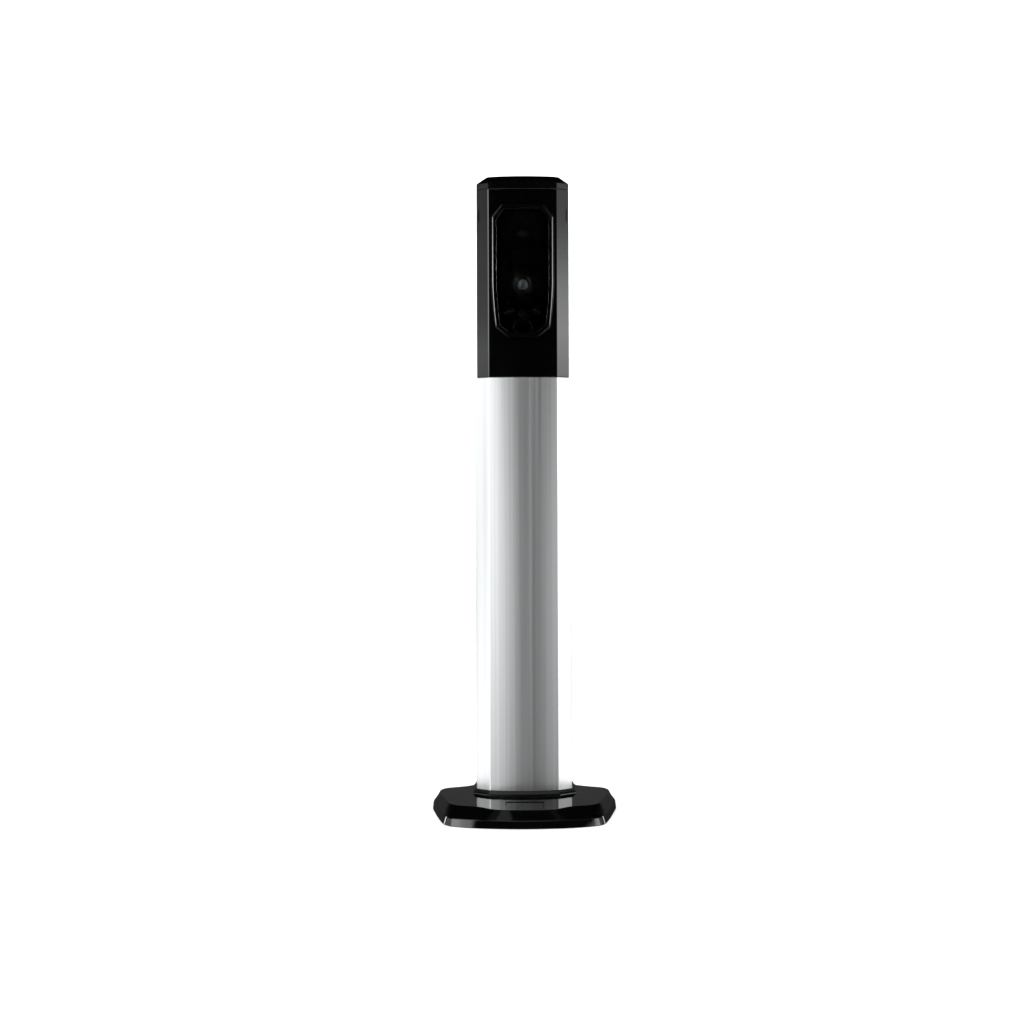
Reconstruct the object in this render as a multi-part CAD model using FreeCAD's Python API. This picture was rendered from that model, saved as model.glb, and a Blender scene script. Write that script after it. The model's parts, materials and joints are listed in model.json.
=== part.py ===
import FreeCAD, Part
import math
import os

# Free-standing light-beam sensor post: floor plate, sliding base cover,
# faceted aluminium column and a black sensor head with a smoked window.
# Millimetres.  +X is the object's right seen from the front, +Y is the back,
# +Z is up.  The model is drawn from the column's frame and moved back by
# SHIFT_Y at the end, so the origin is the centre of the base's footprint,
# on the floor.

V = FreeCAD.Vector

# ------------------------------------------------------------------ sizes
TOTAL_H = 500.0            # floor to the top of the cap
SHIFT_Y = 5.15             # from the drawing frame to the footprint's centre

# base
PAD_T = 1.5                # sealing pad under the floor plate
PLATE_TOP = 5.0            # top of the floor plate
SKIRT_Z0 = 0.3             # lower edge of the cover
SKIRT_TOP = 6.3            # top of the vertical skirt
DECK_Z = 12.4              # flat top of the cover
COVER_T = 2.2              # cover wall
PLATE_IN = 4.2             # plate edge inside the skirt's outline
ANCHOR_X, ANCHOR_Y = 104.0, 36.0   # anchor pattern
ANCHOR_R = 3.3
CABLE_R = 6.0              # cable entry through the grommet

# column
COL_FRONT = -5.5           # front centre line of the column
COL_D = 40.0               # depth
COL_HW = 37.7              # half width
FACE_HW = 27.0             # half width of the bowed front face
BOW = 2.8                  # bow of the front face
FACET_Y = 8.8              # depth at which the facets meet the sides
WALL = 1.8
COL_TOP = 340.0
PORT_X, PORT_Y = 28.0, 8.5  # screw ports, from the section's centre
PORT_R = 1.7
YC = COL_FRONT + COL_D / 2.0

# head
HEAD_HW = 36.4
HEAD_FACE_HW = 27.1
HEAD_SET = 0.9             # head face set back from the column face
HEAD_Z0 = 340.8
HEAD_TOP = 488.2
HEAD_WALL = 2.4
HEAD_FRONT = COL_FRONT + HEAD_SET

# cap
CAP_Z0 = 488.7
CAP_BAND = 493.4
CAP_CH = 8.0
CREASE_R = 3.0             # rounding of the front and back creases

# sensor window, outlines in the XZ plane
RIDGE_Y = -6.0             # front of the raised rim
COVER_Y = -5.2             # front of the smoked cover
GLASS_T = 2.0
LEDGE_Y = -2.4
CHASSIS_Y = 0.0
LENS_Z = 413.5
BALL_R = 8.5
BALL_Y = 7.0
LENS_R = 4.15
DIAL_Z = 379.6
DIAL_R = 6.6
DIAL_Y = 1.9          # front of the range dial, behind the window's ledge

parts = {}


# ------------------------------------------------------------------ helpers
def box(x0, y0, z0, x1, y1, z1):
    return Part.makeBox(x1 - x0, y1 - y0, z1 - z0, V(x0, y0, z0))


def cyl_z(r, z0, z1, x, y):
    return Part.makeCylinder(r, z1 - z0, V(x, y, z0), V(0, 0, 1))


def cyl_y(r, y0, y1, x, z):
    return Part.makeCylinder(r, y1 - y0, V(x, y0, z), V(0, 1, 0))


def cyl_x(r, x0, x1, y, z):
    return Part.makeCylinder(r, x1 - x0, V(x0, y, z), V(1, 0, 0))


def section(front, depth, hw, face_hw, bow, facet_y, z):
    """Closed outline of the faceted section at height z."""
    c = front + depth / 2.0
    r = depth / 2.0

    def p(x, d, side):
        return V(x, c + side * (r - d), z)

    e = [
        Part.Arc(p(-face_hw, bow, -1), p(0, 0, -1), p(face_hw, bow, -1)).toShape(),
        Part.LineSegment(p(face_hw, bow, -1), p(hw, facet_y, -1)).toShape(),
        Part.LineSegment(p(hw, facet_y, -1), p(hw, facet_y, 1)).toShape(),
        Part.LineSegment(p(hw, facet_y, 1), p(face_hw, bow, 1)).toShape(),
        Part.Arc(p(face_hw, bow, 1), p(0, 0, 1), p(-face_hw, bow, 1)).toShape(),
        Part.LineSegment(p(-face_hw, bow, 1), p(-hw, facet_y, 1)).toShape(),
        Part.LineSegment(p(-hw, facet_y, 1), p(-hw, facet_y, -1)).toShape(),
        Part.LineSegment(p(-hw, facet_y, -1), p(-face_hw, bow, -1)).toShape(),
    ]
    return Part.Wire(e)


def column_wire(off, z):
    w = section(COL_FRONT, COL_D, COL_HW, FACE_HW, BOW, FACET_Y, z)
    return w if off == 0 else w.makeOffset2D(off, 2)


def head_wire(off, z):
    w = section(HEAD_FRONT, COL_D - 2 * HEAD_SET, HEAD_HW, HEAD_FACE_HW, BOW,
                FACET_Y - HEAD_SET - 0.1, z)
    return w if off == 0 else w.makeOffset2D(off, 2)


def creased(body, face_hw, r):
    """Round the upright creases: r where front and facet meet, less at the sides."""
    up = [e for e in body.Edges if e.BoundBox.ZLength > 10.0]
    near = [e for e in up if abs(abs(e.BoundBox.Center.x) - face_hw) < 0.5]
    body = body.makeFillet(r, near)
    far = [e for e in body.Edges if e.BoundBox.ZLength > 10.0 and abs(e.BoundBox.Center.x) > face_hw + 8.0]
    return body.makeFillet(0.8, far)


def slab(wire, dz):
    return Part.Face(wire).extrude(V(0, 0, dz))


def poly_xz(pts, y0, y1):
    """Prism along Y from a half outline (x >= 0, from the top down)."""
    full = [(x, z) for x, z in pts] + [(-x, z) for x, z in reversed(pts)]
    v = [V(x, y0, z) for x, z in full]
    v.append(v[0])
    return Part.Face(Part.makePolygon(v)).extrude(V(0, y1 - y0, 0))


def loft_xz(sections):
    """Faceted solid through half outlines placed at rising or falling Y."""
    s = None
    for (p1, y1), (p2, y2) in zip(sections[:-1], sections[1:]):
        w = []
        for p, y in ((p1, y1), (p2, y2)):
            v = [V(x, y, z) for x, z in p] + [V(-x, y, z) for x, z in reversed(p)]
            v.append(v[0])
            w.append(Part.makePolygon(v))
        t = Part.makeLoft(w, True, True)
        s = t if s is None else s.fuse(t)
    return s


def inset(pts, d):
    """Move a half outline inwards by d (outwards when negative)."""
    full = [(x, z) for x, z in pts] + [(-x, z) for x, z in reversed(pts)]
    n = len(full)
    out = []
    for i in range(len(pts)):
        a, b, c = full[i - 1], full[i], full[(i + 1) % n]
        d1 = (b[0] - a[0], b[1] - a[1])
        d2 = (c[0] - b[0], c[1] - b[1])
        l1, l2 = math.hypot(*d1), math.hypot(*d2)
        # the outline runs clockwise seen from the front, so inwards is right
        n1 = (d1[1] / l1, -d1[0] / l1)
        n2 = (d2[1] / l2, -d2[0] / l2)
        k = 1.0 + n1[0] * n2[0] + n1[1] * n2[1]
        out.append((b[0] + d * (n1[0] + n2[0]) / k, b[1] + d * (n1[1] + n2[1]) / k))
    return out


def spline_wire(pts, z):
    """Closed smooth outline through the points of its right half, mirrored."""
    full = [(x, y) for x, y in pts]
    full += [(-x, y) for x, y in reversed(pts) if abs(x) > 1e-6]
    c = Part.BSplineCurve()
    c.interpolate(Points=[V(x, y, z) for x, y in full], PeriodicFlag=True)
    return Part.Wire([c.toShape()])


def grow(pts, d):
    """Offset a right-half outline outwards by d, by its local normals."""
    full = [(x, y) for x, y in pts]
    full += [(-x, y) for x, y in reversed(pts) if abs(x) > 1e-6]
    n = len(full)
    out = []
    for i in range(len(pts)):
        a, c = full[i - 1], full[(i + 1) % n]
        t = (c[0] - a[0], c[1] - a[1])
        ln = math.hypot(*t)
        # counter-clockwise from the front centre: outwards is to the right
        out.append((full[i][0] + d * t[1] / ln, full[i][1] - d * t[0] / ln))
    return [(0.0 if abs(pts[i][0]) < 1e-6 else x, y) for i, (x, y) in enumerate(out)]


def add(name, shape):
    shape = shape.removeSplitter() if name not in RAW else shape
    parts[name] = shape


RAW = set()

# ------------------------------------------------------------------ base outlines
# right halves, from the front centre round to the back centre
SKIRT = [(0.0, -58.4), (9.11, -58.2), (18.26, -57.6), (27.44, -56.7), (36.61, -55.3), (45.75, -53.2),
         (51.81, -51.3), (56.04, -49.5), (59.27, -47.1), (61.28, -43.89), (63.59, -36.99),
         (66.38, -26.48), (68.85, -15.76), (70.76, -7.01), (71.87, -1.2), (72.48, 4.5), (71.87, 11.0),
         (70.96, 18.0), (69.96, 25.0), (68.44, 31.2), (65.72, 35.8), (61.89, 39.4), (57.25, 42.0),
         (51.81, 44.0), (45.96, 45.4), (39.51, 46.4), (32.66, 47.1), (25.2, 47.6), (17.14, 47.9),
         (8.57, 48.05), (0.0, 48.1)]
# the skirt leans in a little towards its top edge
SKIRT_T = [(0.0, -57.5), (9.11, -57.2), (18.26, -56.3), (27.13, -55.0), (36.0, -53.4), (44.74, -51.5),
           (50.5, -50.2), (54.63, -48.9), (57.86, -46.4), (59.96, -42.79), (62.26, -36.08),
           (64.86, -25.71), (67.23, -15.23), (69.25, -6.7), (70.76, -0.9), (71.77, 4.4), (71.27, 10.9),
           (70.36, 17.8), (69.35, 24.7), (67.74, 30.8), (65.02, 35.3), (61.29, 38.8), (56.75, 41.3),
           (51.41, 43.2), (45.56, 44.6), (39.21, 45.6), (32.46, 46.3), (25.1, 46.8), (17.14, 47.1),
           (8.57, 47.25), (0.0, 47.3)]

DECK = [(0.0, -50.0), (7.53, -49.9), (14.56, -49.5), (20.08, -48.6), (24.9, -46.7), (28.71, -44.1),
        (32.35, -41.5), (36.48, -39.5), (41.32, -38.2), (47.03, -36.9), (52.45, -34.7), (56.32, -31.1),
        (58.73, -25.75), (61.14, -16.83), (63.75, -6.81), (65.56, 1.5)]
DECK_BACK = [(66.66, 7.92), (66.86, 11.76), (65.36, 16.2), (62.34, 19.5), (57.73, 21.6), (52.25, 23.4),
             (47.24, 25.4), (42.8, 28.0), (38.16, 31.0), (32.96, 33.8), (27.31, 36.0), (21.08, 37.5),
             (14.56, 38.5), (7.53, 39.0), (0.0, 39.2)]
DECK = DECK + DECK_BACK
assert len(SKIRT) == len(SKIRT_T) == len(DECK), (len(SKIRT), len(SKIRT_T), len(DECK))


def loft(sections):
    return Part.makeLoft([spline_wire(p, z) for p, z in sections], True, True)


def stack(sections):
    s = loft(sections[:2])
    for a, b in zip(sections[1:-1], sections[2:]):
        s = s.fuse(loft([a, b]))
    return s


# ------------------------------------------------------------------ base pad
plate_pts = grow(SKIRT, -PLATE_IN)
pad_pts = grow(SKIRT, -PLATE_IN - 1.0)
anchors = [(sx * ANCHOR_X / 2, sy * ANCHOR_Y / 2 - SHIFT_Y) for sx in (-1, 1) for sy in (-1, 1)]
ports = [(sx * PORT_X, YC + sy * PORT_Y) for sx in (-1, 1) for sy in (-1, 1)]

pad = Part.Face(spline_wire(pad_pts, 0)).extrude(V(0, 0, PAD_T))
for x, y in anchors:
    pad = pad.cut(cyl_z(ANCHOR_R + 0.9, -1, PAD_T + 1, x, y))
for x, y in ports:
    pad = pad.cut(cyl_z(4.8, -1, PAD_T + 1, x, y))
pad = pad.cut(cyl_z(14.2, -1, PAD_T + 1, 0, YC))
add("base_pad", pad)

# ------------------------------------------------------------------ floor plate
plate = Part.Face(spline_wire(plate_pts, PAD_T)).extrude(V(0, 0, PLATE_TOP - PAD_T))
spigot = box(-22, COL_FRONT + 4.8, PLATE_TOP - 0.5, 22, COL_FRONT + COL_D - 4.8, 17.0)
spigot = spigot.cut(box(-19.4, COL_FRONT + 7.4, PLATE_TOP - 1, 19.4, COL_FRONT + COL_D - 7.4, 18.0))
spigot = spigot.makeChamfer(0.8, [e for e in spigot.Edges
                                  if abs(e.BoundBox.ZMin - 17.0) < 1e-6 and e.BoundBox.ZLength < 1e-6
                                  and (abs(e.BoundBox.XMin) > 21.9 or abs(e.BoundBox.YMin - (COL_FRONT + 4.8)) < 1e-6
                                       or abs(e.BoundBox.YMin - (COL_FRONT + COL_D - 4.8)) < 1e-6)])
plate = plate.fuse(spigot)
for x, y in anchors:
    plate = plate.cut(cyl_z(ANCHOR_R, 0, PLATE_TOP + 1, x, y))
    # raised seat round each anchor hole
    plate = plate.fuse(cyl_z(7.0, PLATE_TOP - 0.5, PLATE_TOP + 1.0, x, y).cut(cyl_z(ANCHOR_R, 0, 20, x, y)))
for x, y in ports:
    plate = plate.cut(cyl_z(2.0, 0, PLATE_TOP + 1, x, y))
    plate = plate.cut(Part.makeCone(4.3, 2.0, 2.3, V(x, y, PAD_T), V(0, 0, 1)))
plate = plate.cut(cyl_z(11.0, 0, 20, 0, YC))
add("base_plate", plate)

# ------------------------------------------------------------------ screws into the column's ports
screws = []
for x, y in ports:
    s = Part.makeCone(4.1, 1.9, 2.2, V(x, y, PAD_T + 0.05), V(0, 0, 1))
    s = s.fuse(cyl_z(1.62, PAD_T + 0.5, 26.0, x, y))
    hexv = [V(x + 1.5 * math.cos(math.radians(60 * k)), y + 1.5 * math.sin(math.radians(60 * k)), PAD_T)
            for k in range(7)]
    s = s.cut(Part.Face(Part.makePolygon(hexv)).extrude(V(0, 0, 1.3)))
    screws.append(s)
add("column_screws", Part.Compound(screws))

# ------------------------------------------------------------------ cable grommet in the plate
g = cyl_z(13.6, 0.2, PAD_T, 0, YC)
g = g.fuse(cyl_z(10.95, PAD_T - 0.2, PLATE_TOP + 0.2, 0, YC))
g = g.fuse(cyl_z(12.3, PLATE_TOP, PLATE_TOP + 1.6, 0, YC))
g = g.cut(cyl_z(CABLE_R, 0, 20, 0, YC))
add("base_cable_grommet", g)

# ------------------------------------------------------------------ base cover
outer = stack([
    (grow(SKIRT, -0.25), SKIRT_Z0),
    (SKIRT, SKIRT_Z0 + 0.35),
    (grow(SKIRT_T, 0.1), SKIRT_TOP - 0.65),
    (grow(SKIRT_T, -0.12), SKIRT_TOP - 0.2),
    (grow(SKIRT_T, -0.6), SKIRT_TOP),
    (grow(DECK, 0.35), DECK_Z - 0.34),
    (grow(DECK, 0.0), DECK_Z - 0.1),
    (grow(DECK, -0.5), DECK_Z),
])
inner = stack([
    (grow(SKIRT, -COVER_T), SKIRT_Z0 - 1.0),
    (grow(SKIRT_T, -COVER_T), SKIRT_TOP - 1.2),
    (grow(DECK, -2.6), DECK_Z - 2.4),
])
cover = outer.cut(inner)
cover = cover.cut(slab(column_wire(0.35, DECK_Z - 6), 12))
BADGE = (-14.7, -44.2, 14.7, -24.6)
cover = cover.cut(box(BADGE[0], BADGE[1], DECK_Z - 1.1, BADGE[2], BADGE[3], DECK_Z + 3))
# ribs that rest on the floor plate
for sx in (-1, 1):
    for yr in (-26.0, 20.0):
        rib = box(sx * 43 - 1, yr - 4, PLATE_TOP + 0.05, sx * 43 + 1, yr + 4, DECK_Z - 2.2)
        cover = cover.fuse(rib)
RAW.add("base_cover")
add("base_cover", cover)

badge = box(BADGE[0] + 0.3, BADGE[1] + 0.3, DECK_Z - 1.1, BADGE[2] - 0.3, BADGE[3] - 0.3, DECK_Z - 0.5)
badge = badge.makeChamfer(0.15, [e for e in badge.Edges if abs(e.BoundBox.ZMin - (DECK_Z - 0.5)) < 1e-6])
add("blank_badge", badge)

# ------------------------------------------------------------------ collar round the column's foot
def ring_loft(wire_fn, rings):
    s = None
    for (o1, z1), (o2, z2) in zip(rings[:-1], rings[1:]):
        t = Part.makeLoft([wire_fn(o1, z1), wire_fn(o2, z2)], True, True)
        s = t if s is None else s.fuse(t)
    return s


collar = ring_loft(column_wire, [(3.3, DECK_Z), (3.2, DECK_Z + 0.5), (2.5, DECK_Z + 1.2), (1.9, DECK_Z + 2.0),
                                 (1.35, DECK_Z + 3.0), (0.95, DECK_Z + 3.5)])
collar = collar.cut(slab(column_wire(0.3, DECK_Z - 1), 8))
add("column_collar", collar)

# ------------------------------------------------------------------ column
outer_c = creased(slab(column_wire(0, PLATE_TOP), COL_TOP - PLATE_TOP), FACE_HW, CREASE_R)
col = outer_c.cut(slab(column_wire(-WALL, PLATE_TOP - 1), COL_TOP - PLATE_TOP + 2))
for x, y in ports:
    sx = 1 if x > 0 else -1
    boss = cyl_z(3.6, PLATE_TOP, COL_TOP, x, y)
    web = box(min(x, sx * (COL_HW - 1.0)), y - 1.2, PLATE_TOP, max(x, sx * (COL_HW - 1.0)), y + 1.2, COL_TOP)
    col = col.fuse(boss.fuse(web))
for x, y in ports:
    col = col.cut(cyl_z(PORT_R, 0, COL_TOP + 10, x, y))
add("column_profile", col)

# ------------------------------------------------------------------ head gasket
hg = slab(column_wire(-1.6, COL_TOP), HEAD_Z0 - COL_TOP)
hg = hg.cut(box(-20, YC - 11, COL_TOP - 1, 20, YC + 11, HEAD_Z0 + 1))
for x, y in ports:
    hg = hg.cut(cyl_z(2.1, COL_TOP - 1, HEAD_Z0 + 1, x, y))
add("head_gasket", hg)

# ------------------------------------------------------------------ window outlines
OUT = [(17.0, 477.2), (25.0, 466.0), (25.0, 414.0), (24.5, 402.5), (23.6, 391.0), (22.4, 379.4), (12.4, 370.4)]
CHAN = inset(OUT, 2.35)      # inner foot of the raised rim
INN = inset(OUT, 3.6)        # edge of the smoked cover
LEDGE = inset(OUT, 5.4)      # inner edge of the sealing ledge
FRAME = inset(OUT, 5.7)      # sensor chassis

# ------------------------------------------------------------------ head shell
shell = creased(slab(head_wire(0, HEAD_Z0), HEAD_TOP - HEAD_Z0), HEAD_FACE_HW, CREASE_R)
shell = shell.cut(slab(head_wire(-HEAD_WALL, HEAD_Z0 + 3.0), HEAD_TOP))
shell = shell.cut(poly_xz(inset(OUT, -0.05), -20, 8))
shell = shell.fuse(box(-HEAD_HW + 1.5, 2.0, 463.4, HEAD_HW - 1.5, 5.2, 473.0))
shell = shell.cut(cyl_y(1.55, 0, 8, 0, 468.2))
for x, y in ports:
    shell = shell.cut(cyl_z(2.0, HEAD_Z0 - 1, HEAD_Z0 + 5, x, y))
shell = shell.cut(cyl_z(8.0, HEAD_Z0 - 1, HEAD_Z0 + 5, 0, YC))
# narrow drain slot in the floor
shell = shell.cut(box(-6, YC + 12.2, HEAD_Z0 - 1, 6, YC + 13.7, HEAD_Z0 + 5))
add("head_shell", shell)

hs = []
for x, y in ports:
    s = cyl_z(3.2, HEAD_Z0 + 3.0, HEAD_Z0 + 5.2, x, y)
    s = s.makeFillet(0.7, [e for e in s.Edges if abs(e.BoundBox.ZMin - (HEAD_Z0 + 5.2)) < 1e-6])
    s = s.fuse(cyl_z(1.62, HEAD_Z0 - 16.0, HEAD_Z0 + 3.2, x, y))
    s = s.cut(box(x - 2.2, y - 0.35, HEAD_Z0 + 4.2, x + 2.2, y + 0.35, HEAD_Z0 + 7))
    s = s.cut(box(x - 0.35, y - 2.2, HEAD_Z0 + 4.2, x + 0.35, y + 2.2, HEAD_Z0 + 7))
    hs.append(s)
add("head_screws", Part.Compound(hs))

g = cyl_z(10.4, HEAD_Z0 + 3.0, HEAD_Z0 + 4.6, 0, YC).fuse(cyl_z(7.95, HEAD_Z0 - 0.8, HEAD_Z0 + 3.2, 0, YC))
g = g.cut(cyl_z(4.5, HEAD_Z0 - 5, HEAD_Z0 + 10, 0, YC))
add("head_cable_grommet", g)

# ------------------------------------------------------------------ cap
cap = ring_loft(head_wire, [(-0.3, CAP_Z0), (-0.05, CAP_Z0 + 0.25), (-0.05, CAP_BAND - 0.1), (-0.25, CAP_BAND + 0.15),
                            (-CAP_CH + 0.35, TOTAL_H - 0.45), (-CAP_CH - 0.15, TOTAL_H - 0.1), (-CAP_CH - 1.2, TOTAL_H)])
cap = cap.cut(ring_loft(head_wire, [(-4.6, CAP_Z0 - 1), (-4.6, CAP_BAND - 0.6), (-CAP_CH - 2.4, TOTAL_H - 2.6)]))
lip = slab(head_wire(-HEAD_WALL - 0.35, 482.0), CAP_Z0 + 0.6 - 482.0).cut(
    slab(head_wire(-4.6, 481.0), 20))
cap = cap.fuse(lip)
RAW.add("top_cap")
add("top_cap", cap)
cg = slab(head_wire(-1.0, HEAD_TOP), CAP_Z0 - HEAD_TOP).cut(slab(head_wire(-2.3, HEAD_TOP - 1), 3))
add("cap_gasket", cg)

# ------------------------------------------------------------------ window rim
ridge = loft_xz([(OUT, 1.5), (OUT, -2.0), (inset(OUT, 1.5), RIDGE_Y + 0.45), (inset(OUT, 1.68), RIDGE_Y + 0.14),
                 (inset(OUT, 1.95), RIDGE_Y)]).cut(poly_xz(CHAN, RIDGE_Y - 1, 3))
chan = poly_xz(inset(OUT, 1.6), -3.9, 1.5).cut(poly_xz(INN, -10, 3))
ledge = poly_xz(inset(OUT, 3.4), LEDGE_Y, 1.5).cut(poly_xz(LEDGE, -10, 3))
flange = poly_xz(inset(OUT, -0.8), 0.6, 1.5).cut(poly_xz(LEDGE, -10, 3))
bezel = ridge.fuse([chan, ledge, flange])
add("window_bezel", bezel)

# ------------------------------------------------------------------ smoked cover and its seal
glass = poly_xz(inset(OUT, 3.82), COVER_Y, COVER_Y + GLASS_T)
front = [e for e in glass.Edges if abs(e.BoundBox.YMin - COVER_Y) < 1e-6 and e.BoundBox.YLength < 1e-6]
try:
    glass = glass.makeFillet(0.9, front)
except Exception:
    glass = glass.makeChamfer(0.8, front)
add("front_cover", glass)
seal = poly_xz(inset(OUT, 3.9), COVER_Y + GLASS_T, LEDGE_Y - 0.05).cut(poly_xz(inset(OUT, 5.2), -10, 3))
add("window_seal", seal)

# ------------------------------------------------------------------ sensor chassis
ch = poly_xz(FRAME, CHASSIS_Y, CHASSIS_Y + 2.0)
LEDS = [(-10.6, 392.5), (0.0, 390.3), (10.6, 392.5)]
LAMP_R = 2.0
for x, z in LEDS + [(0.0, 452.5)]:
    eye = cyl_y(3.1, CHASSIS_Y - 1.1, CHASSIS_Y + 0.2, x, z)
    eye = eye.makeFillet(0.75, [e for e in eye.Edges if e.BoundBox.YMax < CHASSIS_Y - 1.0])
    ch = ch.fuse(eye)
    ch = ch.cut(cyl_y(LAMP_R + 0.05, -5, 5, x, z))
ch = ch.cut(cyl_y(7.9, -5, 5, 0, LENS_Z))
for x in (-12.3, 12.3):
    for z0, z1 in ((380.6, 385.2), (465.8, 470.4)):
        ch = ch.cut(box(x - 0.9, CHASSIS_Y - 1, z0, x + 0.9, CHASSIS_Y + 1.2, z1))
ch = ch.cut(cyl_y(1.7, -5, 5, 0, 468.2))
# well for the range dial, with a rounded lip
lip = cyl_y(DIAL_R + 1.3, CHASSIS_Y - 0.9, CHASSIS_Y + 0.2, 0, DIAL_Z)
lip = lip.makeFillet(0.6, [e for e in lip.Edges if e.BoundBox.YMax < CHASSIS_Y - 0.8])
ch = ch.fuse(lip.common(poly_xz(inset(FRAME, 0.1), -3, 3)))
ch = ch.cut(cyl_y(DIAL_R + 0.3, -2, 5, 0, DIAL_Z))
# lugs that carry the pan pins
for s in (-1, 1):
    z = LENS_Z + s * 13.2
    lug = box(-3.0, CHASSIS_Y + 1.8, min(z, z + s * 2.6), 3.0, BALL_Y + 3.0, max(z, z + s * 2.6))
    ch = ch.fuse(lug)
    ch = ch.cut(cyl_z(1.56, z - 4, z + 4, 0, BALL_Y))
# posts for the board
POSTS = [(-13.2, 459.0), (13.2, 459.0), (-10.8, 398.2), (10.8, 398.2)]
for x, z in POSTS:
    ch = ch.fuse(cyl_y(2.4, CHASSIS_Y + 1.8, 20.0, x, z))
    ch = ch.cut(cyl_y(1.05, 12.0, 21.0, x, z))
add("sensor_chassis", ch)

sc = cyl_y(2.9, CHASSIS_Y - 1.3, CHASSIS_Y, 0, 468.2)
sc = sc.makeFillet(0.5, [e for e in sc.Edges if abs(e.BoundBox.YMin - (CHASSIS_Y - 1.3)) < 1e-6 and e.BoundBox.YLength < 1e-6])
sc = sc.fuse(cyl_y(1.5, CHASSIS_Y - 0.2, 5.0, 0, 468.2))
sc = sc.cut(box(-2.0, CHASSIS_Y - 2, 467.9, 2.0, CHASSIS_Y - 0.7, 468.5))
sc = sc.cut(box(-0.3, CHASSIS_Y - 2, 466.2, 0.3, CHASSIS_Y - 0.7, 470.2))
add("chassis_screw", sc)

lr = cyl_y(7.9, CHASSIS_Y - 0.9, CHASSIS_Y + 0.0, 0, LENS_Z)
lr = lr.makeFillet(0.5, [e for e in lr.Edges if abs(e.BoundBox.YMin - (CHASSIS_Y - 0.9)) < 1e-6 and e.BoundBox.YLength < 1e-6])
lr = lr.cut(Part.makeCone(6.9, 5.6, 0.9, V(0, CHASSIS_Y - 0.9, LENS_Z), V(0, 1, 0)))
lr = lr.fuse(cyl_y(7.8, CHASSIS_Y - 0.1, CHASSIS_Y + 1.2, 0, LENS_Z).cut(cyl_y(6.9, -1, 3, 0, LENS_Z)))
add("lens_ring", lr)

# ------------------------------------------------------------------ pan yoke
yk = box(-12.0, BALL_Y - 2.0, LENS_Z - 12.2, 12.0, BALL_Y + 2.0, LENS_Z + 12.2)
yk = yk.makeChamfer(1.5, [e for e in yk.Edges if abs(e.BoundBox.YLength - 4.0) < 1e-6 and e.BoundBox.XLength < 1e-6])
yk = yk.cut(box(-9.4, -10, LENS_Z - 9.6, 9.4, 30, LENS_Z + 9.6))
for s in (-1, 1):
    z0 = LENS_Z + s * 12.0
    z1 = LENS_Z + s * 15.4
    yk = yk.fuse(cyl_z(1.5, min(z0, z1), max(z0, z1), 0, BALL_Y))
yk = yk.cut(cyl_x(1.26, -20, 20, BALL_Y, LENS_Z))
add("pan_yoke", yk)

# ------------------------------------------------------------------ lens barrel, lens, diode
ball = Part.makeSphere(BALL_R, V(0, BALL_Y, LENS_Z))
ball = ball.common(box(-20, BALL_Y - 20, LENS_Z - 20, 20, BALL_Y + 4.5, LENS_Z + 20))
ball = ball.fuse(cyl_y(5.6, BALL_Y + 3.5, BALL_Y + 9.0, 0, LENS_Z))
ball = ball.fuse(cyl_x(1.2, -11.6, 11.6, BALL_Y, LENS_Z))
lens_back = BALL_Y - math.sqrt(BALL_R ** 2 - LENS_R ** 2) + 0.1
ball = ball.cut(cyl_y(LENS_R + 0.05, -10, lens_back + 1.5, 0, LENS_Z))
ball = ball.cut(Part.makeCone(3.6, 2.6, BALL_Y + 4 - lens_back - 1.4, V(0, lens_back + 1.4, LENS_Z), V(0, 1, 0)))
ball = ball.cut(cyl_y(2.55, BALL_Y + 2.0, BALL_Y + 20, 0, LENS_Z))
add("lens_barrel", ball)

ls = cyl_y(LENS_R, lens_back - 3.0, lens_back + 1.4, 0, LENS_Z)
ls = ls.common(Part.makeSphere(6.2, V(0, lens_back - 1.15 + 6.2 - 0.35, LENS_Z)))
add("lens", ls)

d = cyl_y(2.5, BALL_Y + 3.2, BALL_Y + 8.0, 0, LENS_Z)
d = d.fuse(Part.makeSphere(2.5, V(0, BALL_Y + 3.2, LENS_Z)))
for x in (-1.27, 1.27):
    d = d.fuse(cyl_y(0.3, BALL_Y + 7.9, BALL_Y + 10.4, x, LENS_Z))
add("beam_diode", d)

# ------------------------------------------------------------------ indicator lamps
def lamp(x, z, back):
    dome = Part.makeSphere(LAMP_R, V(x, CHASSIS_Y + 0.4, z)).common(
        box(x - 5, -8, z - 5, x + 5, CHASSIS_Y + 0.5, z + 5))
    return cyl_y(LAMP_R, CHASSIS_Y + 0.4, back, x, z).fuse(dome)


add("status_lamps", Part.Compound([lamp(x, z, 8.0) for x, z in LEDS]))
add("alignment_lamp", lamp(0.0, 452.5, 8.0))

# ------------------------------------------------------------------ range dial and its potentiometer
dl = cyl_y(DIAL_R, DIAL_Y, DIAL_Y + 2.4, 0, DIAL_Z)
dl = dl.cut(cyl_y(DIAL_R - 1.3, DIAL_Y - 1, DIAL_Y + 0.5, 0, DIAL_Z))
dl = dl.makeFillet(0.35, [e for e in dl.Edges if abs(e.BoundBox.YMin - DIAL_Y) < 1e-6 and e.BoundBox.YLength < 1e-6])
for k in range(30):
    a = math.radians(12 * k)
    dl = dl.cut(cyl_y(0.3, DIAL_Y + 0.7, DIAL_Y + 4, DIAL_R * math.cos(a), DIAL_Z + DIAL_R * math.sin(a)))
dl = dl.cut(box(-0.55, DIAL_Y - 1, DIAL_Z - 4.4, 0.55, DIAL_Y + 1.4, DIAL_Z + 4.4))
dl = dl.fuse(cyl_y(1.5, DIAL_Y + 2.2, 11.0, 0, DIAL_Z))
add("range_dial", dl)
pt = box(-5.0, 7.0, DIAL_Z - 5.0, 5.0, 20.0, DIAL_Z + 5.0)
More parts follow.
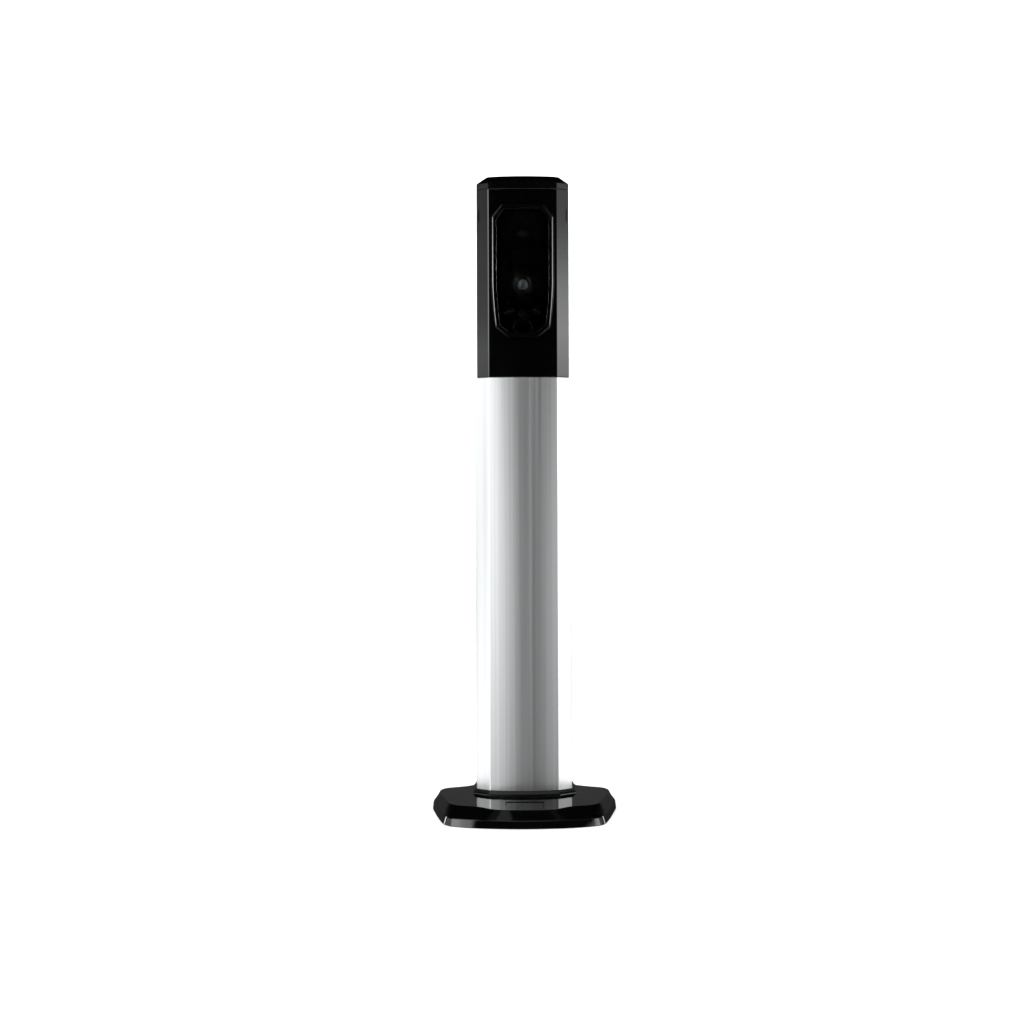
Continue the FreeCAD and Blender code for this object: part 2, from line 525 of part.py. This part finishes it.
pt = pt.makeChamfer(0.6, [e for e in pt.Edges if abs(e.BoundBox.YMin - 7.0) < 1e-6 and e.BoundBox.YLength < 1e-6])
pt = pt.cut(cyl_y(1.55, 6, 11.6, 0, DIAL_Z))
add("potentiometer", pt)

# ------------------------------------------------------------------ circuit board and what it carries
pcb = box(-16.5, 20.0, 376.0, 16.5, 21.6, 471.0)
pcb = pcb.makeChamfer(2.5, [e for e in pcb.Edges if abs(e.BoundBox.YLength - 1.6) < 1e-6])
for x, z in POSTS:
    pcb = pcb.cut(cyl_y(1.3, 18, 24, x, z))
add("circuit_board", pcb)
ps = []
for x, z in POSTS:
    s = cyl_y(2.3, 21.6, 23.0, x, z).fuse(cyl_y(1.0, 14.0, 21.8, x, z))
    s = s.cut(box(x - 1.5, 22.3, z - 0.25, x + 1.5, 24, z + 0.25))
    s = s.cut(box(x - 0.25, 22.3, z - 1.5, x + 0.25, 24, z + 1.5))
    ps.append(s)
add("board_screws", Part.Compound(ps))
rl = box(-5.0, 21.6, 428.0, 5.0, 29.6, 447.0)
rl = rl.makeFillet(0.5, [e for e in rl.Edges if e.BoundBox.YMin > 21.7 or abs(e.BoundBox.YLength - 8.0) < 1e-6])
add("relay", rl)
caps = []
for x, z in ((-10.5, 418.0), (10.5, 418.0)):
    c = cyl_y(3.15, 21.6, 29.4, x, z)
    c = c.makeFillet(0.4, [e for e in c.Edges if abs(e.BoundBox.YMin - 29.4) < 1e-6 and e.BoundBox.YLength < 1e-6])
    caps.append(c)
add("capacitors", Part.Compound(caps))
ic = box(-4.5, 21.6, 403.0, 4.5, 23.4, 412.0)
add("control_chip", ic)
tb = box(-12.7, 21.6, 379.0, 12.7, 29.6, 388.0)
for k in range(5):
    x = -10.16 + 5.08 * k
    tb = tb.cut(cyl_y(1.95, 26.0, 40, x, 384.0))
    tb = tb.cut(box(x - 1.6, 23.4, 370, x + 1.6, 26.2, 382.5))
add("terminal_block", tb)
ts = []
for k in range(5):
    x = -10.16 + 5.08 * k
    s = cyl_y(1.85, 26.3, 28.6, x, 384.0).cut(box(x - 1.9, 27.7, 383.7, x + 1.9, 29, 384.3))
    ts.append(s)
add("terminal_screws", Part.Compound(ts))

# ------------------------------------------------------------------ write
os.makedirs("parts", exist_ok=True)
lo = [1e9] * 3
hi = [-1e9] * 3
for name, shape in parts.items():
    shape = shape.copy()
    shape.translate(V(0, SHIFT_Y, 0))
    if not shape.isValid():
        print("INVALID", name)
    n = len(shape.Solids)
    b = shape.BoundBox
    print("%-20s solids %d  vol %.1f  x %.2f..%.2f  y %.2f..%.2f  z %.2f..%.2f" % (
        name, n, shape.Volume, b.XMin, b.XMax, b.YMin, b.YMax, b.ZMin, b.ZMax))
    if n == 1:
        shape = shape.Solids[0]
    shape.exportStep("parts/%s.step" % name)
    for i, (u, v) in enumerate(((b.XMin, b.XMax), (b.YMin, b.YMax), (b.ZMin, b.ZMax))):
        lo[i] = min(lo[i], u)
        hi[i] = max(hi[i], v)
print("bbox", [round(v, 3) for v in lo], [round(v, 3) for v in hi], len(parts), "nodes")
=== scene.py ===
import bpy
import json
import math
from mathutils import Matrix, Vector

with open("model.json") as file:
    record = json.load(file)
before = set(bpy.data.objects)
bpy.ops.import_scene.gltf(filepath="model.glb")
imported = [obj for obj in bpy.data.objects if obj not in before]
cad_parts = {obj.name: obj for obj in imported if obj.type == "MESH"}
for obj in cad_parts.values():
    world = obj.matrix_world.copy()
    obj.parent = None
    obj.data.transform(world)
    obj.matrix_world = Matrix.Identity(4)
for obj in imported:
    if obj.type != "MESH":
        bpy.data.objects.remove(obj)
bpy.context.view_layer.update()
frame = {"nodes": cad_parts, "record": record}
nodes = frame["nodes"]
scene = bpy.context.scene


# ---------------------------------------------------------------- material helpers
def new_material(name):
    m = bpy.data.materials.new(name)
    m.use_nodes = True
    nt = m.node_tree
    for n in list(nt.nodes):
        nt.nodes.remove(n)
    out = nt.nodes.new("ShaderNodeOutputMaterial")
    b = nt.nodes.new("ShaderNodeBsdfPrincipled")
    nt.links.new(b.outputs[0], out.inputs[0])
    return m, nt, b


def coords(nt, scale=(1, 1, 1), rot=(0, 0, 0)):
    tc = nt.nodes.new("ShaderNodeTexCoord")
    mp = nt.nodes.new("ShaderNodeMapping")
    mp.inputs["Scale"].default_value = scale
    mp.inputs["Rotation"].default_value = rot
    nt.links.new(tc.outputs["Object"], mp.inputs["Vector"])
    return mp.outputs[0]


def noise(nt, vec, scale, detail=2.0, rough=0.5):
    n = nt.nodes.new("ShaderNodeTexNoise")
    n.inputs["Scale"].default_value = scale
    n.inputs["Detail"].default_value = detail
    n.inputs["Roughness"].default_value = rough
    nt.links.new(vec, n.inputs["Vector"])
    return n.outputs[0]


def remap(nt, value, a, b, lo=0.0, hi=1.0):
    r = nt.nodes.new("ShaderNodeMapRange")
    r.inputs["From Min"].default_value = lo
    r.inputs["From Max"].default_value = hi
    r.inputs["To Min"].default_value = a
    r.inputs["To Max"].default_value = b
    nt.links.new(value, r.inputs["Value"])
    return r.outputs[0]


def ramp(nt, value, stops):
    r = nt.nodes.new("ShaderNodeValToRGB")
    e = r.color_ramp.elements
    while len(e) > 1:
        e.remove(e[-1])
    e[0].position, e[0].color = stops[0][0], (*stops[0][1], 1)
    for p, c in stops[1:]:
        k = e.new(p)
        k.color = (*c, 1)
    nt.links.new(value, r.inputs[0])
    return r.outputs[0]


def bump(nt, value, strength, distance, normal=None):
    b = nt.nodes.new("ShaderNodeBump")
    b.inputs["Strength"].default_value = strength
    b.inputs["Distance"].default_value = distance
    nt.links.new(value, b.inputs["Height"])
    if normal is not None:
        nt.links.new(normal, b.inputs["Normal"])
    return b.outputs[0]


def math_node(nt, op, a, b):
    m = nt.nodes.new("ShaderNodeMath")
    m.operation = op
    for i, v in enumerate((a, b)):
        if isinstance(v, (int, float)):
            m.inputs[i].default_value = v
        else:
            nt.links.new(v, m.inputs[i])
    return m.outputs[0]


def moulded(name, col, rough, var=0.15, peel=0.02, peel_scale=260.0, grain=0.0, grain_scale=3500.0, spec=0.5, coat=0.0):
    """Moulded plastic or rubber: slight colour drift, uneven gloss, orange peel and fine grain."""
    m, nt, b = new_material(name)
    v = coords(nt)
    drift = noise(nt, v, 18.0, 3.0)
    lo = tuple(c * (1 - var) for c in col)
    hi = tuple(min(1.0, c * (1 + var)) for c in col)
    nt.links.new(ramp(nt, drift, [(0.3, lo), (0.7, hi)]), b.inputs["Base Color"])
    rg = noise(nt, v, 42.0, 4.0, 0.6)
    nt.links.new(remap(nt, rg, rough * 0.8, rough * 1.25, 0.3, 0.7), b.inputs["Roughness"])
    b.inputs["Specular IOR Level"].default_value = spec
    if coat:
        b.inputs["Coat Weight"].default_value = coat
        b.inputs["Coat Roughness"].default_value = 0.03
    n = None
    if peel:
        n = bump(nt, noise(nt, v, peel_scale, 1.0), peel, 0.0004)
    if grain:
        n = bump(nt, noise(nt, v, grain_scale, 2.0, 0.6), grain, 0.00006, n)
    if n is not None:
        nt.links.new(n, b.inputs["Normal"])
    return m


def metal(name, col, rough, aniso=0.0, streak=(1, 1, 1), streak_scale=400.0, streak_amount=0.06, streak_bump=0.02, tangent="Z"):
    m, nt, b = new_material(name)
    b.inputs["Metallic"].default_value = 1.0
    v = coords(nt, streak)
    s = noise(nt, v, streak_scale, 3.0, 0.65)
    lo = tuple(c * (1 - streak_amount) for c in col)
    hi = tuple(min(1.0, c * (1 + streak_amount)) for c in col)
    nt.links.new(ramp(nt, s, [(0.3, lo), (0.7, hi)]), b.inputs["Base Color"])
    nt.links.new(remap(nt, s, rough * 0.88, rough * 1.14, 0.3, 0.7), b.inputs["Roughness"])
    nt.links.new(bump(nt, s, streak_bump, 0.0002), b.inputs["Normal"])
    if aniso:
        b.inputs["Anisotropic"].default_value = aniso
        b.inputs["Anisotropic Rotation"].default_value = 0.25
        t = nt.nodes.new("ShaderNodeTangent")
        t.direction_type = "RADIAL"
        t.axis = tangent
        nt.links.new(t.outputs[0], b.inputs["Tangent"])
    return m


# ---------------------------------------------------------------- materials
MAT = {}
MAT["gloss_black"] = moulded("gloss_black", (0.0010, 0.0010, 0.0011), 0.055, peel=0.012, peel_scale=170)
MAT["head_black"] = moulded("head_black", (0.0005, 0.0005, 0.0006), 0.06, peel=0.010, peel_scale=150)
MAT["cap_black"] = moulded("cap_black", (0.0009, 0.0009, 0.0010), 0.07, peel=0.012, peel_scale=190)
MAT["rim_black"] = moulded("rim_black", (0.0009, 0.0009, 0.0010), 0.06, peel=0.008)
MAT["collar_black"] = moulded("collar_black", (0.0018, 0.0018, 0.0019), 0.18, peel=0.02, grain=0.05)
MAT["pad_rubber"] = moulded("pad_rubber", (0.018, 0.018, 0.018), 0.75, peel=0.0, grain=0.6, grain_scale=1400)
MAT["black_rubber"] = moulded("black_rubber", (0.010, 0.010, 0.010), 0.5, grain=0.2)
MAT["badge_satin"] = moulded("badge_satin", (0.004, 0.004, 0.0042), 0.14, peel=0.01, grain=0.05)
MAT["inner_black"] = moulded("inner_black", (0.0025, 0.0025, 0.0027), 0.12, grain=0.02)
MAT["ring_black"] = moulded("ring_black", (0.003, 0.003, 0.0032), 0.08)
MAT["dial_black"] = moulded("dial_black", (0.003, 0.003, 0.003), 0.08)
MAT["part_black"] = moulded("part_black", (0.012, 0.012, 0.013), 0.3, grain=0.15)
MAT["part_blue"] = moulded("part_blue", (0.02, 0.07, 0.25), 0.35, grain=0.1)
MAT["terminal_green"] = moulded("terminal_green", (0.03, 0.24, 0.10), 0.38, grain=0.1)
MAT["board_green"] = moulded("board_green", (0.012, 0.11, 0.045), 0.28, peel=0.05, peel_scale=900)
MAT["diode_dark"] = moulded("diode_dark", (0.02, 0.012, 0.03), 0.06)
MAT["lamp_dark"] = moulded("lamp_dark", (0.006, 0.004, 0.004), 0.05)
MAT["barrel_grey"] = moulded("barrel_grey", (0.006, 0.006, 0.0065), 0.22, grain=0.1)
MAT["anodised"] = metal("anodised", (0.72, 0.725, 0.72), 0.335, aniso=0.0, streak=(1.0, 1.0, 0.004), streak_scale=300, streak_amount=0.10, streak_bump=0.05)
MAT["cast_alloy"] = metal("cast_alloy", (0.42, 0.43, 0.44), 0.5, streak_scale=900, streak_amount=0.12, streak_bump=0.25)
MAT["zinc_steel"] = metal("zinc_steel", (0.62, 0.63, 0.62), 0.28, streak_scale=1200, streak_amount=0.08)
MAT["black_screw"] = metal("black_screw", (0.03, 0.03, 0.032), 0.2, streak_scale=1500, streak_amount=0.15)


def clear(name, tint, rough, ior, trans=1.0):
    m, nt, b = new_material(name)
    v = coords(nt)
    d = noise(nt, v, 30.0, 2.0)
    nt.links.new(ramp(nt, d, [(0.3, tuple(c * 0.97 for c in tint)), (0.7, tint)]), b.inputs["Base Color"])
    b.inputs["Transmission Weight"].default_value = trans
    b.inputs["IOR"].default_value = ior
    nt.links.new(remap(nt, noise(nt, v, 60.0, 3.0), rough * 0.7, rough * 1.3, 0.3, 0.7), b.inputs["Roughness"])
    nt.links.new(bump(nt, noise(nt, v, 120.0, 1.0), 0.01, 0.0003), b.inputs["Normal"])
    return m


MAT["smoked"] = clear("smoked", (0.62, 0.62, 0.64), 0.02, 1.45)
MAT["lens_clear"] = clear("lens_clear", (0.20, 0.235, 0.225), 0.09, 1.65, 0.35)

record = frame["record"]
for sp in record["subparts"]:
    o = nodes[sp["node"]]
    m = MAT[sp["material_slot"]]
    if not o.data.materials:
        o.data.materials.append(m)
    for i in range(len(o.material_slots)):
        o.material_slots[i].material = m

# ---------------------------------------------------------------- studio
import bmesh


def bowl(radius=3.4, wall=2.6, bend=1.0, seg=96):
    """Pale floor that curves up into a wall all round."""
    prof = [(0.0, 0.0), (radius - bend, 0.0)]
    for k in range(1, 13):
        a = math.radians(90 * k / 12)
        prof.append((radius - bend + bend * math.sin(a), bend - bend * math.cos(a)))
    prof.append((radius, wall))
    bm = bmesh.new()
    rings = []
    for r, z in prof:
        if r == 0:
            rings.append([bm.verts.new((0, 0, z))])
        else:
            rings.append([bm.verts.new((r * math.cos(2 * math.pi * i / seg), r * math.sin(2 * math.pi * i / seg), z)) for i in range(seg)])
    for a, b in zip(rings[:-1], rings[1:]):
        for i in range(seg):
            j = (i + 1) % seg
            if len(a) == 1:
                bm.faces.new((a[0], b[i], b[j]))
            else:
                bm.faces.new((a[i], b[i], b[j], a[j]))
    me = bpy.data.meshes.new("studio_floor")
    bm.to_mesh(me)
    bm.free()
    for p in me.polygons:
        p.use_smooth = True
    o = bpy.data.objects.new("studio_floor", me)
    scene.collection.objects.link(o)
    return o


floor = bowl()
fm, fnt, fb = new_material("floor_pale")
fb.inputs["Base Color"].default_value = (0.86, 0.86, 0.86, 1)
fb.inputs["Roughness"].default_value = 0.9
fb.inputs["Specular IOR Level"].default_value = 0.1
fb.inputs["Emission Color"].default_value = (1, 1, 1, 1)
fb.inputs["Emission Strength"].default_value = 0.44
floor.data.materials.append(fm)
floor.visible_glossy = False
floor.visible_transmission = False
floor.visible_shadow = False


def softbox(name, pos, target, w, h, radiance, glossy=True):
    li = bpy.data.lights.new(name, "AREA")
    li.shape = "RECTANGLE"
    li.size, li.size_y = w, h
    li.energy = radiance * math.pi * w * h
    o = bpy.data.objects.new(name, li)
    o.location = pos
    o.rotation_euler = (Vector(target) - Vector(pos)).to_track_quat("-Z", "Y").to_euler()
    o.visible_camera = False
    o.visible_glossy = glossy
    scene.collection.objects.link(o)
    return o


softbox("light_top", (0, 0.2, 2.3), (0, 0, 0), 2.4, 2.4, 1.1, glossy=False)

# The studio air: two tall soft boxes left and right of the camera, darker fill
# behind the object and black above and in front, as a gradient over direction.
world = bpy.data.worlds.new("studio_air")
scene.world = world
world.use_nodes = True
wnt = world.node_tree
wtc = wnt.nodes.new("ShaderNodeTexCoord")
wsep = wnt.nodes.new("ShaderNodeSeparateXYZ")
wnt.links.new(wtc.outputs["Generated"], wsep.inputs[0])


def wm(op, a, b=None, c=None):
    m = wnt.nodes.new("ShaderNodeMath")
    m.operation = op
    for i, v in enumerate((a, b, c)):
        if v is None:
            continue
        if isinstance(v, (int, float)):
            m.inputs[i].default_value = v
        else:
            wnt.links.new(v, m.inputs[i])
    return m.outputs[0]


# azimuth in degrees, 0 towards the camera side (-Y), + to the right; elevation in degrees
AZ = wm("MULTIPLY", wm("ARCTAN2", wsep.outputs[0], wm("MULTIPLY", wsep.outputs[1], -1.0)), 180 / math.pi)
EL = wm("MULTIPLY", wm("ARCSINE", wsep.outputs[2]), 180 / math.pi)


def curve(value, pts):
    """Piecewise smooth curve through (value, height) pairs."""
    lo, hi = pts[0][0], pts[-1][0]
    r = wnt.nodes.new("ShaderNodeValToRGB")
    r.color_ramp.interpolation = "EASE"
    e = r.color_ramp.elements
    while len(e) > 1:
        e.remove(e[-1])
    for i, (x, y) in enumerate(pts):
        k = e[0] if i == 0 else e.new((x - lo) / (hi - lo))
        k.position = (x - lo) / (hi - lo)
        k.color = (y, y, y, 1)
    n = wnt.nodes.new("ShaderNodeMapRange")
    n.inputs["From Min"].default_value = lo
    n.inputs["From Max"].default_value = hi
    wnt.links.new(value, n.inputs["Value"])
    wnt.links.new(n.outputs[0], r.inputs[0])
    return r.outputs[0]


def patch(az, el):
    return wm("MULTIPLY", curve(AZ, az), curve(EL, el))


patches = [
    # left soft box
    patch([(-50, 0), (-45, 1), (-29, 1), (-25, 0)], [(-60, 0.1), (-22, 0.2), (-14, 0.5), (-9, 2.9), (3, 3.7), (6, 0)]),
    patch([(-56.5, 0), (-52.5, 1), (-29, 1), (-25, 0)], [(3, 0), (6, 5.4), (14, 5.4), (24, 3.4), (45, 0.4)]),
    patch([(-68, 0), (-63, 1), (-54, 1), (-47, 0)], [(-60, 1.6), (-22, 2.4), (-12, 2.2), (-7, 0.6), (-3, 0)]),
    # left fill beyond it
    patch([(-112, 0), (-95, 0.8), (-60, 1), (-52, 0)], [(-40, 0.2), (-18, 0.3), (-11, 1.0), (-4, 0.75), (2, 0.85), (5, 2.2), (7, 1.35), (9, 1.15), (12, 0.85), (18, 0.5), (40, 0.1)]),
    # low card on the left that fades across the middle
    patch([(-30, 0), (-26, 0.8), (-18, 1.5), (-11, 1.2), (-5, 0.2), (-1, 0), (8, 0), (14, 0.15), (22, 0.8), (31, 1.2), (37, 0)], [(-14, 0), (-11, 1), (0.5, 1.1), (3.4, 0)]),
    # right soft box
    patch([(50, 0), (54, 1), (62, 1), (67, 0)], [(-60, 2.0), (-22, 3.6), (-12, 3.2), (-7, 0.6), (-3, 0)]),
    patch([(32, 0), (39, 1), (66, 1), (72, 0)], [(-60, 0.1), (-22, 0.2), (-12, 0.5), (-6, 1.9), (2.5, 2.2), (4.6, 4.6), (6, 5.7), (7.2, 5.1), (8.4, 4.0), (9.4, 2.7), (11, 1.4), (14, 1.2), (24, 1.2), (45, 0)]),
    patch([(66, 0), (74, 1), (95, 0.8), (112, 0)], [(-40, 0.2), (-18, 0.3), (-10, 0.6), (0, 0.9), (8, 1.0), (18, 0.3), (40, 0.1)]),
    # rear strips that catch the raised edges
    patch([(-127, 0), (-124, 1), (-119, 1), (-116, 0)], [(-3.5, 0), (-1, 7), (3, 13), (7.5, 18), (9, 18), (11, 10), (14, 0)]),
    patch([(116, 0), (119, 1), (124, 1), (127, 0)], [(-3.5, 0), (-1, 5), (3, 8), (7.5, 11), (11, 9), (14, 0)]),
    patch([(-152, 0), (-145, 1), (-128, 1), (-120, 0)], [(-60, 0), (-46, 4.0), (-26, 5.5), (-19, 0)]),
    patch([(120, 0), (128, 1), (145, 1), (152, 0)], [(-60, 0), (-46, 0.8), (-26, 1.1), (-19, 0)]),
    # floor bounce low at the sides and back
    patch([(-180, 0.10), (-150, 0.22), (-100, 0.7), (-92, 0), (92, 0), (100, 0.5), (150, 0.15), (180, 0.10)], [(-90, 0.2), (-50, 0.6), (-30, 1.0), (-13, 1.0), (-8, 0.3), (0, 0)]),
    # overhead light well in front, for the rounded rims behind the window
    patch([(-75, 0), (-50, 1), (30, 0.7), (60, 0)], [(32, 0), (42, 0.8), (58, 0.8), (68, 0)]),
    # a trace of light on the floor in front
    patch([(-60, 0), (-28, 0.12), (0, 0.07), (28, 0.08), (60, 0)], [(-60, 1.2), (-20, 1.2), (-13, 1.0), (-9, 0)]),
    # dim wall behind the object
    patch([(-180, 1), (-140, 1), (-115, 0), (115, 0), (140, 1), (180, 1)], [(-8, 0), (-2, 0.07), (6, 0.10), (12, 0.125), (18, 0.12), (28, 0.03), (45, 0)]),
]
total = patches[0]
for q in patches[1:]:
    total = wm("ADD", total, q)
wnt.links.new(total, wnt.nodes["Background"].inputs[1])
wnt.nodes["Background"].inputs[0].default_value = (0.97, 0.985, 1.0, 1)

scene.view_settings.view_transform = "Standard"
scene.view_settings.look = "None"
scene.view_settings.exposure = 0.0
scene.view_settings.gamma = 1.0

# ---------------------------------------------------------------- camera
cam = bpy.data.cameras.new("camera")
cam.sensor_fit = "HORIZONTAL"
cam.sensor_width = 36.0
cam.lens = 1300.0 / 1024.0 * 36.0
cam.shift_x = (512.0 - 523.35) / 1024.0
cam.shift_y = (470.0 - 512.0) / 1024.0
cam.clip_start, cam.clip_end = 0.01, 50.0
co = bpy.data.objects.new("camera", cam)
co.location = (0.0, -1.0244 + 0.00515, 0.2674)
co.rotation_euler = (math.radians(90), math.radians(0.2), 0)
scene.collection.objects.link(co)
scene.camera = co
